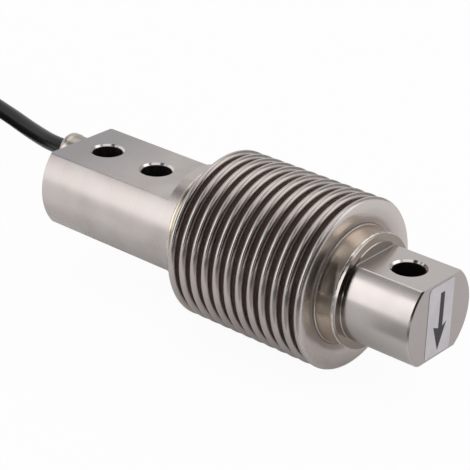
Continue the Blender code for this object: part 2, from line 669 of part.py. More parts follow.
def main():
    steel = material("satin_steel", (0.57, 0.54, 0.52), 0.24, 1.0)
    bright = material("bellows_steel", (0.55, 0.52, 0.49), 0.22, 1.0)
    plated = material("gland_steel", (0.58, 0.54, 0.47), 0.26, 1.0)
    rubber = material("black_rubber", (0.02, 0.02, 0.02), 0.7)
    resin = material("sealing_resin", (0.09, 0.07, 0.05), 0.4)
    circuit_finishes = {
        "foil": material("gauge_foil", (0.72, 0.48, 0.16), 0.35),
        "board": material("board_green", (0.05, 0.22, 0.10), 0.45),
        "ceramic": material("resistor_ceramic", (0.05, 0.05, 0.06), 0.5),
        "enamel": material("enamelled_copper", (0.60, 0.22, 0.10), 0.3, 1.0),
    }
    cable_finishes = {
        "jacket": material("cable_jacket", (0.022, 0.022, 0.026), 0.42),
        "nylon": material("white_nylon", (0.82, 0.82, 0.78), 0.45),
        "red": material("core_red", (0.60, 0.03, 0.03), 0.4),
        "black": material("core_black", (0.02, 0.02, 0.02), 0.4),
        "green": material("core_green", (0.03, 0.32, 0.08), 0.4),
        "white": material("core_white", (0.80, 0.80, 0.78), 0.4),
        "drain": material("tinned_copper", (0.70, 0.68, 0.66), 0.35, 1.0),
    }
    label = material("label_foil", (0.52, 0.50, 0.54), 0.38)

    measuring_body(steel)
    bellows(bright)
    gland(plated, rubber)
    feedthrough_plug(resin)
    circuit(circuit_finishes)
    inner_cores(cable_finishes)
    direction_label(label)
    cable(cable_finishes)


clear_scene()
main()
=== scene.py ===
"""Bellows load cell: the finish of the steel, the welded bellows, the gland, the label and the cable."""
import math

import bpy
from mathutils import Matrix, Vector


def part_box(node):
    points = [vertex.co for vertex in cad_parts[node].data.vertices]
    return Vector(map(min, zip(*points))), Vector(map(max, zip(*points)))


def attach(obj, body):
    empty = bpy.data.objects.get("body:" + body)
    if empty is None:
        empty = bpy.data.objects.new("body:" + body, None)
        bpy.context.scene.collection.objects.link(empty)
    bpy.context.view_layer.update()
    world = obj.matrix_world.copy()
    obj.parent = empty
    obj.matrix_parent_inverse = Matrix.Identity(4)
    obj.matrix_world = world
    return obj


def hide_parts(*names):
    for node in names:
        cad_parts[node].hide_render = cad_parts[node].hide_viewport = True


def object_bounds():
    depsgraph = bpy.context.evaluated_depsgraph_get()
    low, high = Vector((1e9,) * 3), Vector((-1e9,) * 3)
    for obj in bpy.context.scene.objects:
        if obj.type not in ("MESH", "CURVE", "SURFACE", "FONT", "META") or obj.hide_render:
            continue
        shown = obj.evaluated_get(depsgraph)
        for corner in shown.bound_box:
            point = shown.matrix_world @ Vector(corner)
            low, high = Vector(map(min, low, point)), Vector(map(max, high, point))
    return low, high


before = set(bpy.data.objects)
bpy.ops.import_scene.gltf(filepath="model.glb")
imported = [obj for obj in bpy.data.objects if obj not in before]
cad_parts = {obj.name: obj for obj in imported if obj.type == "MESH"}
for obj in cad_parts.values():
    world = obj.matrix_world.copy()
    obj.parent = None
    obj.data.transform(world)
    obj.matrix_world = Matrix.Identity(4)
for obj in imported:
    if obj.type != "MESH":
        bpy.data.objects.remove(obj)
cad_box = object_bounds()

BODY = "root"

# The cell, in metres: the boxes of the frame's solids, and the sizes that its source gives
body_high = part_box("measuring_body")[1]
bellows_low, bellows_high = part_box("bellows")
gland_low, gland_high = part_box("gland_body")
label_low, label_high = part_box("direction_label")
hank_low, hank_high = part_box("cable_hank")

AXIS_Z = (bellows_low.z + bellows_high.z) / 2
BACK_X = -0.0190
FRONT_X = body_high.x
FIXED_RADIUS = 0.0156
FIXED_HALF_THICKNESS = 0.0102
FIXED_FLAT_END = BACK_X + 0.0430
LOAD_RADIUS = 0.0129
LOAD_HALF_THICKNESS = 0.01015
FLAT_FILLET = 0.00025
EDGE_BREAK = 0.00015
EDGE_CHAMFER = 0.0004
BOLT_X = (-0.0090, 0.0090, FRONT_X - 0.0098)
BOLT_RADIUS = 0.0041
BOLT_CHAMFER = 0.0006
GAP = 0.0003

CUFF_X = bellows_low.x
RIM_X = bellows_high.x
BLOCK_X = FRONT_X - 0.0197
COLLAR_CHAMFER = 0.0002
BELLOWS_RADIUS = 0.0225
BELLOWS_WALL = 0.00025
CONVOLUTIONS = 12
PITCH = 0.00369
CREST_RADIUS = 0.00110
FIRST_CREST_X = CUFF_X + 0.0067
LAST_CREST_X = FIRST_CREST_X + (CONVOLUTIONS - 1) * PITCH
CUFF_RADIUS = 0.01595
RIM_RADIUS = 0.01495
LIP_RADIUS = 0.0155
LIP_X = LAST_CREST_X + 0.0004
DISC_DISH = 0.0011
LIP_FILLET = 0.0005
CUFF_HOLLOW = 2.3
RIM_DIP = 0.0001
# The last disc from its crest inwards: how far it lies behind the crest's face, and below the crest's centre
DISC_DISHING = ((0.00010, 0.0012), (0.00030, 0.0024), (0.00055, 0.0034), (0.00080, 0.0043))

BEAM_BACK_X = CUFF_X + 0.0052
BEAM_FRONT_X = RIM_X - 0.0042
BEAM_X = (BEAM_BACK_X + BEAM_FRONT_X) / 2
BEAM_HALF_WIDTH = 0.0060
BEAM_HALF_HEIGHT = 0.0070
BEAM_FILLET = 0.0015
BEAM_BORE_RADIUS = 0.0052
BEAM_BORE_SPACING = 0.0200
BEAM_SLOT_HEIGHT = 0.0030

GLAND_Y = (gland_low.y + gland_high.y) / 2
GLAND_X = gland_low.x
GLAND_RADIUS = 0.0050
GLAND_BORE = 0.0039
GLAND_BAND = 0.0023
GLAND_GROOVE = 0.0002
GLAND_EDGE = 0.0006
GLAND_LEAD_IN = 0.0003
# Along X from the end of the gland's band: where its slope to the shank starts and ends
GLAND_SLOPE = (-0.0004, 0.0002)
SPIGOT_RADIUS = 0.0039
SPIGOT_X = gland_high.x
CHANNEL_RADIUS = 0.0025
SHEATH_END_X = GLAND_X + 0.0115

CABLE_DIAMETER = 0.0050
HANK_START_X = -0.0990
HANK_END_X = -0.1970
HANK_Y = 0.0010
HANK_OUTER_RADIUS = 0.0200
HANK_INNER_RADIUS = 0.0150
HANK_LAYERS = 5
HANK_BOTTOM_Z = hank_low.z + CABLE_DIAMETER / 2
TAIL_Z = 0.0168
TAIL_END_X = -0.1290
# Along the tail: the distance from the hank's far end, and the bend sideways
TAIL_BENDS = ((0.0080, 0.0), (0.0300, 0.0006), (0.0520, -0.0004))
FLOOR_Z = cad_box[0].z - 0.0001

# The lead from inside the gland to the hank, bent as the photograph shows it
LEAD_ROUTE = [
    (SHEATH_END_X, 0.0100, 0.0102),
    (-0.0322, 0.0100, 0.0101),
    (-0.0420, 0.0110, 0.0094),
    (-0.0530, 0.0136, 0.0091),
    (-0.0640, 0.0161, 0.0095),
    (-0.0750, 0.0181, 0.0101),
    (-0.0832, 0.0194, 0.0108),
]
# Where the lead comes onto the hank's top layer, in X and Y
LEAD_JOIN = (-0.0910, 0.0208)
ROUTE_SPACING = 0.003
TAIL_SPACING = 0.004
CORES = ("red", "black", "green", "white")


# Camera: the photograph's own viewing angle
CAMERA_PLACE = Vector((0.30702, -0.32540, 0.21797))
CAMERA_BACK = Vector((0.57366, -0.69068, 0.44032))
CAMERA_ROLL = math.radians(1.886)
CAMERA_LENS = 139.46


def set_camera():
    data = bpy.data.cameras.new("photo_camera")
    data.lens = CAMERA_LENS
    camera = bpy.data.objects.new("photo_camera", data)
    bpy.context.scene.collection.objects.link(camera)
    turn = CAMERA_BACK.to_track_quat("Z", "Y").to_matrix() @ Matrix.Rotation(CAMERA_ROLL, 3, "Z")
    camera.matrix_world = Matrix.Translation(CAMERA_PLACE) @ turn.to_4x4()
    bpy.context.scene.camera = camera


# Modelling by hand: drawn outlines, spins, cuts

# The small plane whose corners are merged to a line's first vertex
DOT = 0.001
MERGE_DISTANCE = 0.000001
ROUND_SEGMENTS = 6
# The share of an edge's length that lies along the axis that it counts as running along
ALONG = 0.99


def select_none():
    if bpy.context.mode != "OBJECT":
        bpy.ops.object.mode_set(mode="OBJECT")
    bpy.ops.object.select_all(action="DESELECT")


def only(piece):
    select_none()
    piece.select_set(True)
    bpy.context.view_layer.objects.active = piece


def settle(piece):
    """Puts the piece's place into its mesh."""
    only(piece)
    bpy.ops.object.transform_apply(location=True, rotation=True, scale=True)
    return piece


def draw(name, points):
    """A line of vertices through the points, extruded one from the last; left open in edit mode."""
    select_none()
    bpy.ops.mesh.primitive_plane_add(size=DOT, location=points[0])
    piece = bpy.context.object
    piece.name = piece.data.name = name
    bpy.ops.object.mode_set(mode="EDIT")
    bpy.ops.mesh.select_mode(type="VERT")
    bpy.ops.mesh.select_all(action="SELECT")
    bpy.ops.mesh.merge(type="CENTER")
    for before, after in zip(points, points[1:]):
        step = Vector(after) - Vector(before)
        bpy.ops.mesh.extrude_region_move(TRANSFORM_OT_translate={"value": step})
    return piece


def weld():
    """In edit mode: merges what meets and turns all faces outwards."""
    bpy.ops.mesh.select_all(action="SELECT")
    bpy.ops.mesh.remove_doubles(threshold=MERGE_DISTANCE)
    bpy.ops.mesh.normals_make_consistent(inside=False)


def turned(piece, centre, axis, steps, capped):
    """The drawn line spun once round an axis; its open ends are filled when it is capped."""
    bpy.ops.mesh.select_all(action="SELECT")
    bpy.ops.mesh.spin(steps=steps, angle=math.tau, center=centre, axis=axis)
    weld()
    if capped:
        bpy.ops.mesh.select_all(action="SELECT")
        bpy.ops.mesh.fill_holes(sides=0)
        weld()
    return settle(piece)


def lathe(name, profile, steps, y=0.0, capped=False):
    """A (station, radius) profile spun round a line along X at that Y, at the axis' height."""
    piece = draw(name, [(x, y, AXIS_Z + radius) for x, radius in profile])
    return turned(piece, (0.0, y, AXIS_Z), (1.0, 0.0, 0.0), steps, capped)


def upright(name, profile, steps, x):
    """A (height, radius) profile spun round a vertical line at that X, its open ends filled."""
    piece = draw(name, [(x + radius, 0.0, height) for height, radius in profile])
    return turned(piece, (x, 0.0, 0.0), (0.0, 0.0, 1.0), steps, capped=True)


def block(name, low, high):
    low, high = Vector(low), Vector(high)
    select_none()
    bpy.ops.mesh.primitive_cube_add(size=1.0, location=(low + high) / 2, scale=high - low)
    piece = bpy.context.object
    piece.name = piece.data.name = name
    return settle(piece)


def pick_edges(piece, wanted):
    """Opens edit mode with the edges picked that wanted(start, end) accepts."""
    only(piece)
    for part in (*piece.data.vertices, *piece.data.edges, *piece.data.polygons):
        part.select = False
    points = piece.data.vertices
    for edge in piece.data.edges:
        edge.select = wanted(points[edge.vertices[0]].co, points[edge.vertices[1]].co)
    bpy.context.tool_settings.mesh_select_mode = (False, True, False)
    bpy.ops.object.mode_set(mode="EDIT")


def round_edges(piece, along, radius):
    """Rounds the edges of a block that run along one axis."""
    pick_edges(piece, lambda a, b: abs((b - a).normalized()[along]) > ALONG)
    bpy.ops.mesh.bevel(offset=radius, segments=ROUND_SEGMENTS)
    bpy.ops.object.mode_set(mode="OBJECT")
    return piece


def apply(piece, kind, **settings):
    only(piece)
    modifier = piece.modifiers.new(kind.title(), kind)
    for key, value in settings.items():
        setattr(modifier, key, value)
    bpy.ops.object.modifier_apply(modifier=modifier.name)


def carve(piece, cutter):
    """Cuts the cutter out of the piece."""
    apply(piece, "BOOLEAN", operation="DIFFERENCE", solver="EXACT", object=cutter)
    bpy.data.objects.remove(cutter, do_unlink=True)


def soften(piece, width, angle):
    """A small round on every edge that is crisper than the angle."""
    apply(piece, "BEVEL", width=width, segments=2, limit_method="ANGLE",
          angle_limit=math.radians(angle), use_clamp_overlap=True, harden_normals=False)


def smooth(piece, angle=28):
    only(piece)
    bpy.ops.object.shade_smooth_by_angle(angle=math.radians(angle))


def dress(piece, finish, slot, *nodes):
    """Gives the piece its finish and lets it ride on the cell, in the place of the named nodes."""
    piece.data.materials.clear()
    piece.data.materials.append(finish)
    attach(piece, BODY)
    if nodes:
        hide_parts(*nodes)
    return piece


def arc(centre, radius, start, end, points):
    """Points on an arc in any plane, its angles in degrees."""
    angles = [math.radians(start + (end - start) * i / (points - 1)) for i in range(points)]
    return [(centre[0] + radius * math.cos(a), centre[1] + radius * math.sin(a)) for a in angles]


def rounded(low, high, radii, points):
    """A rectangle's outline with round corners, from its upper right one on anticlockwise."""
    (y0, z0), (y1, z1) = low, high
    corners = ((y1, z1, -1, -1), (y0, z1, 1, -1), (y0, z0, 1, 1), (y1, z0, -1, 1))
    outline = []
    for i, ((y, z, side_y, side_z), radius) in enumerate(zip(corners, radii)):
        outline += arc((y + side_y * radius, z + side_z * radius), radius, 90 * i, 90 * i + 90, points)
    return outline


# Shader maths

class Field:
    """A value that varies over a surface. Arithmetic on it adds Math nodes to its finish."""

    def __init__(self, finish, socket):
        self.finish, self.socket = finish, socket

    def math(self, operation, *others):
        node = self.finish.node("ShaderNodeMath", {"operation": operation}, self, *others)
        return Field(self.finish, node.outputs[0])

    def __add__(self, other):
        return self.math("ADD", other)

    def __radd__(self, other):
        return self.math("ADD", other)

    def __sub__(self, other):
        return self.math("SUBTRACT", other)

    def __rsub__(self, other):
        return self.math("MULTIPLY", -1.0).math("ADD", other)

    def __mul__(self, other):
        return self.math("MULTIPLY", other)

    def __rmul__(self, other):
        return self.math("MULTIPLY", other)

    def __pow__(self, other):
        return self.math("POWER", other)

    def between(self, low, high):
        """0 up to low, 1 from high, and smooth in between."""
        settings = {"interpolation_type": "SMOOTHSTEP"}
        node = self.finish.node("ShaderNodeMapRange", settings, self, low, high)
        return Field(self.finish, node.outputs[0])

    def past(self, place, change):
        """0 before a place and 1 past it. The change starts and ends at the two distances from it."""
        return self.between(place + change[0], place + change[1])

    def band(self, place, rise, fall):
        """1 between a rise and a fall, both given from one place."""
        return self.past(place, rise) * (1.0 - self.past(place, fall))


class Finish:
    """A material, its shader and a shorthand for its nodes."""

    def __init__(self, name, colour, roughness, metallic=0.0):
        self.material = bpy.data.materials.new(name)
        self.material.use_nodes = True
        self.tree = self.material.node_tree
        self.shader = self.tree.nodes["Principled BSDF"]
        self.set("Base Color", (*colour, 1.0))
        self.set("Roughness", roughness)
        self.set("Metallic", metallic)
        self.material.diffuse_color = (*colour, 1.0)

    def set(self, socket, value):
        if isinstance(value, Field):
            self.tree.links.new(value.socket, self.shader.inputs[socket])
        else:
            self.shader.inputs[socket].default_value = value

    def node(self, kind, settings, *values, **named):
        node = self.tree.nodes.new(kind)
        for key, value in settings.items():
            setattr(node, key, value)
        for key, value in [*enumerate(values), *named.items()]:
            socket = node.inputs[key.replace("_", " ") if isinstance(key, str) else key]
            if isinstance(value, Field):
                self.tree.links.new(value.socket, socket)
            else:
                socket.default_value = value
        return node

    def place(self):
        """Object coordinates, as a vector field."""
        return Field(self, self.node("ShaderNodeTexCoord", {}).outputs["Object"])

    def apart(self, vector):
        node = self.node("ShaderNodeSeparateXYZ", {}, vector)
        return [Field(self, output) for output in node.outputs]

    def stretched(self, scale):
        """The coordinates of a pattern, scaled along each axis."""
        node = self.node("ShaderNodeMapping", {}, self.place(), Scale=scale)
        return Field(self, node.outputs[0])

    def noise(self, vector, scale, detail):
        node = self.node("ShaderNodeTexNoise", {}, Vector=vector, Scale=scale, Detail=detail)
        return Field(self, node.outputs[0])

    def tint(self, share, one, other):
        """A colour from one to other."""
        node = self.node("ShaderNodeMix", {"data_type": "RGBA"})
        for socket, value in zip((node.inputs[0], node.inputs[6], node.inputs[7]), (share, one, other)):
            if isinstance(value, Field):
                self.tree.links.new(value.socket, socket)
            else:
                socket.default_value = (*value, 1.0) if isinstance(value, tuple) else value
        return Field(self, node.outputs[2])

    def bump(self, height, distance, strength):
        node = self.node("ShaderNodeBump", {}, Strength=strength, Distance=distance, Height=height)
        self.set("Normal", Field(self, node.outputs[0]))


# The steels

STEEL = (0.565, 0.518, 0.500)
STEEL_BRIGHT = (0.600, 0.554, 0.537)
STEEL_DULL = (0.525, 0.475, 0.455)
STRAW = (0.700, 0.610, 0.490)
# Painted highlight: the bright chamfers of the bolt holes
CHAMFER_HIGHLIGHT = (0.860, 0.830, 0.810)
# Painted shade for the crease at the foot of the load block's collar and the ring beside the bellows' lip
CREASE_SHADE = (0.210, 0.190, 0.178)
# Dark heat tint that also serves as painted reflection in the rings at the fixed cuff
CUFF_TINT_AND_DARK_REFLECTION = (0.300, 0.255, 0.195)
# Painted light: the valleys of the bellows made lighter than the steel
VALLEY_PAINTED_LIGHT = (0.620, 0.550, 0.520)
# Painted light on the last disc of the bellows
DISC_PAINTED_LIGHT = (0.680, 0.625, 0.600)
# Painted shade for the top flat of the fixed end
TOP_FLAT_SHADE = (0.375, 0.358, 0.360)
END_FACE = (0.480, 0.434, 0.424)
LOAD_STEEL = (0.580, 0.533, 0.516)
# Painted shade on the face of the load collar
COLLAR_FACE_SHADE = (0.340, 0.300, 0.262)
# Painted highlight on the chamfer at the foot of the load collar
COLLAR_FOOT_HIGHLIGHT = (0.560, 0.500, 0.430)
# Painted shade: the dark inside of the bolt holes
BORE_SHADE = (0.170, 0.150, 0.140)
FORMED_BRIGHT = (0.565, 0.508, 0.484)
# Painted highlight: weld-bead steel brighter than the steel round it
BEAD_HIGHLIGHT = (0.850, 0.810, 0.770)
BEAD_STRAW = (0.700, 0.630, 0.540)
GLAND_SHANK = (0.400, 0.362, 0.322)
GLAND_BRIGHT = (0.540, 0.482, 0.437)

# Where tints and finishes change: the start and the end of the change, from the place that the code names
BORE_CHANGE = (0.00002, 0.00012)
CHAMFER_CHANGE = (-0.00010, 0.0)
SHOULDER_RISE, SHOULDER_FALL = (-0.00004, -0.00002), (0.00001, 0.00003)
FACE_RISE, FACE_FALL = (-0.00026, -0.00023), (-0.00019, -0.00017)
FOOT_RISE, FOOT_FALL = (-0.00019, -0.00017), (-0.00006, -0.00004)
COLLAR_RISE, COLLAR_FALL = (-0.0002, 0.0), (0.0003, 0.0006)
BLOCK_RISE = (0.0010, 0.0020)
END_RISE = (-0.00020, -0.00005)
FLAT_RISE = (-0.0004, -0.0001)
FLAT_SHADE_FALL_X = (-0.016, 0.012)
RIM_STRAW_RISE, RIM_STRAW_FALL = (-0.0002, 0.0008), (0.0, 0.0012)
CUFF_STRAW_FALL = (0.0012, 0.0040)
WALL_FALL = (-0.0030, -0.0008)
FIRST_RISE = (0.0, 0.0004)
LAST_RISE = (0.0002, 0.0006)
SLEEVE_CHANGE = (0.0, 0.0004)
DISC_INSIDE, DISC_OUTSIDE = 0.0012, 0.0015
SHADOW_RISE, SHADOW_FALL = (0.00012, 0.00018), (0.00040, 0.00050)
SHADOW_X_RISE = (-0.0010, -0.0008)
GLAND_CHANGE = (-0.0001, 0.0001)
CUFF_RING_PITCH = 0.0011


def body_steel():
    """Turned and milled stainless steel, satin; painted shade in the bores, on the collar's face, in its
    crease and on the fixed top flat, and painted highlights on the chamfers.
    """
    finish = Finish("turned_steel", STEEL, 0.24, 1.0)
    place = finish.place()
    x, y, z = finish.apart(place)
    cloud = finish.noise(place, 90.0, 3.0).between(0.35, 0.70)
    rings = finish.noise(finish.stretched((2400.0, 40.0, 40.0)), 1.0, 2.0)
    bore, chamfer = 0.0, 0.0
    for centre in BOLT_X:
        away = ((x - centre) ** 2.0 + y ** 2.0) ** 0.5
        bore = bore + (1.0 - away.past(BOLT_RADIUS, BORE_CHANGE))
        chamfer = chamfer + (1.0 - away.past(BOLT_RADIUS + BOLT_CHAMFER, CHAMFER_CHANGE))
    shoulder_shade = x.band(BLOCK_X, SHOULDER_RISE, SHOULDER_FALL)
    face = x.band(BLOCK_X, FACE_RISE, FACE_FALL)
    foot = x.band(BLOCK_X, FOOT_RISE, FOOT_FALL)
    colour = finish.tint(cloud, STEEL_DULL, STEEL_BRIGHT)
    # Painted shade: the top flat of the fixed end, darker and bluer towards the back end
    fixed_flat_shade = (1.0 - x.between(*FLAT_SHADE_FALL_X)) * z.past(AXIS_Z + FIXED_HALF_THICKNESS, FLAT_RISE)
    colour = finish.tint(fixed_flat_shade, colour, TOP_FLAT_SHADE)
    load_block = finish.tint(cloud, LOAD_STEEL, STEEL_BRIGHT)
    colour = finish.tint(x.past(BLOCK_X, BLOCK_RISE), colour, load_block)
    colour = finish.tint(x.past(FRONT_X, END_RISE), colour, END_FACE)
    # Painted shade: a dark line in the crease where the collar's chamfer meets the load block
    colour = finish.tint(shoulder_shade, colour, CREASE_SHADE)
    # Painted shade darkens the whole face of the load collar
    colour = finish.tint(face, colour, COLLAR_FACE_SHADE)
    # Painted highlight: a bright straw line on the collar's chamfer
    colour = finish.tint(foot, colour, COLLAR_FOOT_HIGHLIGHT)
    # Painted highlight on the bolt holes' chamfers
    colour = finish.tint(chamfer, colour, CHAMFER_HIGHLIGHT)
    # Painted shade inside the bolt holes
    finish.set("Base Color", finish.tint(bore, colour, BORE_SHADE))
    ground = x.past(RIM_X, COLLAR_RISE)
    collar = ground * (1.0 - x.past(BLOCK_X, COLLAR_FALL))
    finish.set("Roughness", 0.25 + cloud * 0.06 + rings * 0.04 + bore * 0.20 - chamfer * 0.10
               - ground * 0.06 - collar * 0.08)
    finish.bump(rings, 0.0000003, 0.5)
    return finish.material


def bellows_steel():
    """Thin formed steel: bright crests, duller valleys lightened by painted light, painted light on the last
    disc, painted shade beside the lip, and straw tint beside the two welds, striped at the fixed cuff with
    painted reflection rings.
    """
    finish = Finish("formed_steel", STEEL, 0.20, 1.0)
    place = finish.place()
    x, y, z = finish.apart(place)
    cloud = finish.noise(place, 120.0, 3.0).between(0.30, 0.70)
    radius = (y ** 2.0 + (z - AXIS_Z) ** 2.0) ** 0.5
    near_rim = x.past(LIP_X, RIM_STRAW_RISE) * (1.0 - radius.past(LIP_RADIUS, RIM_STRAW_FALL))
    near_cuff = 1.0 - x.past(CUFF_X, CUFF_STRAW_FALL)
    colour = finish.tint(cloud, STEEL_DULL, FORMED_BRIGHT)
    colour = finish.tint(near_rim * 0.75, colour, STRAW)
    # At the fixed cuff: straw heat tint, striped with dark rings of painted reflection
    painted_reflection_rings = (x * (math.tau / CUFF_RING_PITCH)).math("SINE").between(-0.2, 0.5)
    colour = finish.tint(near_cuff * 0.9, colour, finish.tint(painted_reflection_rings, CUFF_TINT_AND_DARK_REFLECTION, STRAW))
    past_last = x.past(LAST_CREST_X, LAST_RISE)
    between_crests = x.past(FIRST_CREST_X, FIRST_RISE) * (1.0 - past_last)
    valley = (1.0 - radius.past(BELLOWS_RADIUS, WALL_FALL)) * between_crests
    # Painted light lightens the valleys between the crests; they are also rougher
    colour = finish.tint(valley, colour, VALLEY_PAINTED_LIGHT)
    # Painted light: the last disc made lighter than the steel
    painted_light_disc = past_last * radius.between(LIP_RADIUS + DISC_INSIDE, BELLOWS_RADIUS - DISC_OUTSIDE)
    colour = finish.tint(painted_light_disc, colour, DISC_PAINTED_LIGHT)
    lip_shadow = radius.band(LIP_RADIUS, SHADOW_RISE, SHADOW_FALL) * x.past(LIP_X, SHADOW_X_RISE)
    finish.set("Base Color", finish.tint(lip_shadow * 0.75, colour, CREASE_SHADE))
    sleeve = x.past(LIP_X, SLEEVE_CHANGE) * (1.0 - radius.past(LIP_RADIUS, SLEEVE_CHANGE))
    finish.set("Roughness", 0.17 + cloud * 0.06 + valley * 0.50 + past_last * 0.08 - sleeve * 0.13)
    finish.bump(cloud, 0.000010, 0.3)
    return finish.material


def bead_steel():
    """A fine weld bead, lightly rippled, with patches of heat tint; its steel is coloured brighter than steel
    as a painted highlight.
    """
    finish = Finish("weld_bead", (0.80, 0.75, 0.70), 0.20, 1.0)
    place = finish.place()
    patch = finish.noise(place, 300.0, 2.0).between(0.35, 0.65)
    ripple = finish.noise(place, 900.0, 1.0)
    # Painted highlight in the bright bead colour, with random patches of straw heat tint
    finish.set("Base Color", finish.tint(patch, BEAD_HIGHLIGHT, BEAD_STRAW))
    finish.set("Roughness", 0.15 + patch * 0.10)
    finish.bump(ripple, 0.00004, 0.5)
    return finish.material


def gland_steel():
    """Turned steel, a little yellow, with a bright end band and a darker shank."""
    finish = Finish("gland_turned_steel", (0.50, 0.46, 0.42), 0.26, 1.0)
    x = finish.apart(finish.place())[0]
    band = 1.0 - x.past(GLAND_X + GLAND_BAND, GLAND_CHANGE)
    lines = finish.noise(finish.stretched((2600.0, 60.0, 60.0)), 1.0, 2.0)
    finish.set("Base Color", finish.tint(band, GLAND_SHANK, GLAND_BRIGHT))
    finish.set("Roughness", 0.20 + lines * 0.08)
    finish.bump(lines, 0.0000003, 0.5)
    return finish.material


# Plastics, resin, film and wire

DARKER_TONE = 0.82
LIGHTER_TONE = 1.12
GLOSS_SPREAD = 0.06
JACKET_DARK = (0.005, 0.005, 0.006)
JACKET_LIGHT = (0.010, 0.010, 0.012)


def plain_finish(name, colour, roughness, metallic=0.0, grain=900.0, depth=0.000004):
    """A moulded or cast surface with a little variation of tone, gloss and texture."""
    finish = Finish(name, colour, roughness, metallic)
    place = finish.place()
    cloud = finish.noise(place, grain / 8, 2.0)
    pores = finish.noise(place, grain, 2.0)
    darker = tuple(value * DARKER_TONE for value in colour)
    lighter = tuple(min(1.0, value * LIGHTER_TONE) for value in colour)
    finish.set("Base Color", finish.tint(cloud, darker, lighter))
    finish.set("Roughness", roughness - GLOSS_SPREAD / 2 + cloud * GLOSS_SPREAD)
    finish.bump(pores, depth, 0.5)
    return finish.material


def cable_jacket():
    """Smooth black sheath with a soft sheen."""
    finish = Finish("cable_jacket_black", (0.014, 0.014, 0.016), 0.32)
    finish.set("Specular IOR Level", 0.33)
    place = finish.place()
    cloud = finish.noise(place, 160.0, 3.0)
    pores = finish.noise(place, 2600.0, 2.0)
    finish.set("Base Color", finish.tint(cloud, JACKET_DARK, JACKET_LIGHT))
    finish.set("Roughness", 0.15 + cloud * 0.10)
    finish.bump(pores, 0.000004, 0.5)
    return finish.material


# The cable

def smooth_route(points, spacing):
    """Points along a smooth curve through the given ones, about a spacing apart."""
    points = [Vector(p) for p in points]
    padded = [points[0] * 2 - points[1], *points, points[-1] * 2 - points[-2]]
    route = []
    for before, a, b, after in zip(padded, padded[1:], padded[2:], padded[3:]):
        steps = max(1, round((b - a).length / spacing))
        for i in range(steps):
            t = i / steps
            bend = 2 * before - 5 * a + 4 * b - after
            twist = 3 * a - before - 3 * b + after
            route.append((2 * a + (b - before) * t + bend * t * t + twist * t ** 3) / 2)
    return [*route, points[-1]]


def tube(name, route, diameter, sides=4):
    curve = bpy.data.curves.new(name, "CURVE")
    curve.dimensions = "3D"
    curve.bevel_depth = diameter / 2
    curve.bevel_resolution = sides
    curve.use_fill_caps = True
    spline = curve.splines.new("POLY")
    spline.points.add(len(route) - 1)
    for point, place in zip(spline.points, route):
        point.co = (*place, 1.0)
    piece = bpy.data.objects.new(name, curve)
    bpy.context.scene.collection.objects.link(piece)
    return piece


def ease(t):
    t = min(1.0, max(0.0, t))
    return t * t * (3 - 2 * t)


HANK_RUN = HANK_START_X - HANK_END_X
BEND_POINTS = 16
RUN_POINTS = 12
# Along a run of the hank, where a turn changes its layer or its column
STEP_FROM, STEP_TO = 0.030, 0.070
TAIL_RADIUS = (HANK_OUTER_RADIUS + HANK_INNER_RADIUS) / 2


def part_way(start, end, share):
    """From start to end, both (radius, z): a turn that changes column rolls round the one beside it."""
    if start[1] == end[1]:
        share = math.sin(share * math.pi / 2)
    return tuple(a + (b - a) * share for a, b in zip(start, end))


def half_turn(x, first, radius, z):
    """A bend of the hank, from an angle in radians, round the point at that X."""
    angles = [first + math.pi * i / BEND_POINTS for i in range(BEND_POINTS)]
    return [(x + radius * math.cos(a), HANK_Y + radius * math.sin(a), z) for a in angles]


def lap(start, end, run):
    """One turn of the hank from start to end, both (radius, z). It changes on its run "out" or "back"."""
    along = [HANK_RUN * i / RUN_POINTS for i in range(RUN_POINTS)]
    steps = [part_way(start, end, ease((d - STEP_FROM) / (STEP_TO - STEP_FROM))) for d in along]
    early = run == "out"
    middle = end if early else start
    route = []
    for d, (radius, z) in zip(along, steps if early else [start] * RUN_POINTS):
        route.append((HANK_START_X - d, HANK_Y + radius, z))
    route += half_turn(HANK_END_X, math.pi / 2, *middle)
    for d, (radius, z) in zip(along, [end] * RUN_POINTS if early else steps):
        route.append((HANK_END_X + d, HANK_Y - radius, z))
    return route + half_turn(HANK_START_X, -math.pi / 2, *end)


def cable_route():
    """The lead, the outer column of the hank downwards, the inner one upwards, and the tail."""
    outer, inner = HANK_OUTER_RADIUS, HANK_INNER_RADIUS
    layer = [HANK_BOTTOM_Z + i * CABLE_DIAMETER for i in range(HANK_LAYERS)]
    onto_hank = [LEAD_ROUTE[-1], (*LEAD_JOIN, layer[-1]), (HANK_START_X, HANK_Y + outer, layer[-1])]
    route = smooth_route(LEAD_ROUTE, ROUTE_SPACING)[:-1]
    route += smooth_route(onto_hank, ROUTE_SPACING)[:-1]
    for i in reversed(range(1, HANK_LAYERS)):
        route += lap((outer, layer[i]), (outer, layer[i - 1]), "back")
    route += lap((outer, layer[0]), (inner, layer[0]), "back")
    for i in range(1, HANK_LAYERS):
        route += lap((inner, layer[i - 1]), (inner, layer[i]), "out")
    last = lap((inner, layer[-1]), (TAIL_RADIUS, TAIL_Z), "out")
    route += last[:RUN_POINTS + BEND_POINTS]
    y = HANK_Y - TAIL_RADIUS
    bends = [(HANK_END_X + along, y + sideways, TAIL_Z) for along, sideways in TAIL_BENDS]
    return route + smooth_route([(HANK_END_X, y, TAIL_Z), *bends, (TAIL_END_X, y, TAIL_Z)], TAIL_SPACING)


set_camera()

jacket = cable_jacket()
cable_piece = tube("cable_sheath", cable_route(), CABLE_DIAMETER, 6)
dress(cable_piece, jacket, "cable_jacket", "cable", "cable_hank", "cable_tail")


# The measuring body: turned from a bar, then milled and drilled

# How far cutters reach past a side of the cell, and past the face that they open
REACH = 0.0300
PAST = 0.0020
# An edge this near to a face of the cutter lies on it
TOUCH = 0.0001
# The length of the bores' and the slot's cut through the beam
BORE_CUT = 0.0200


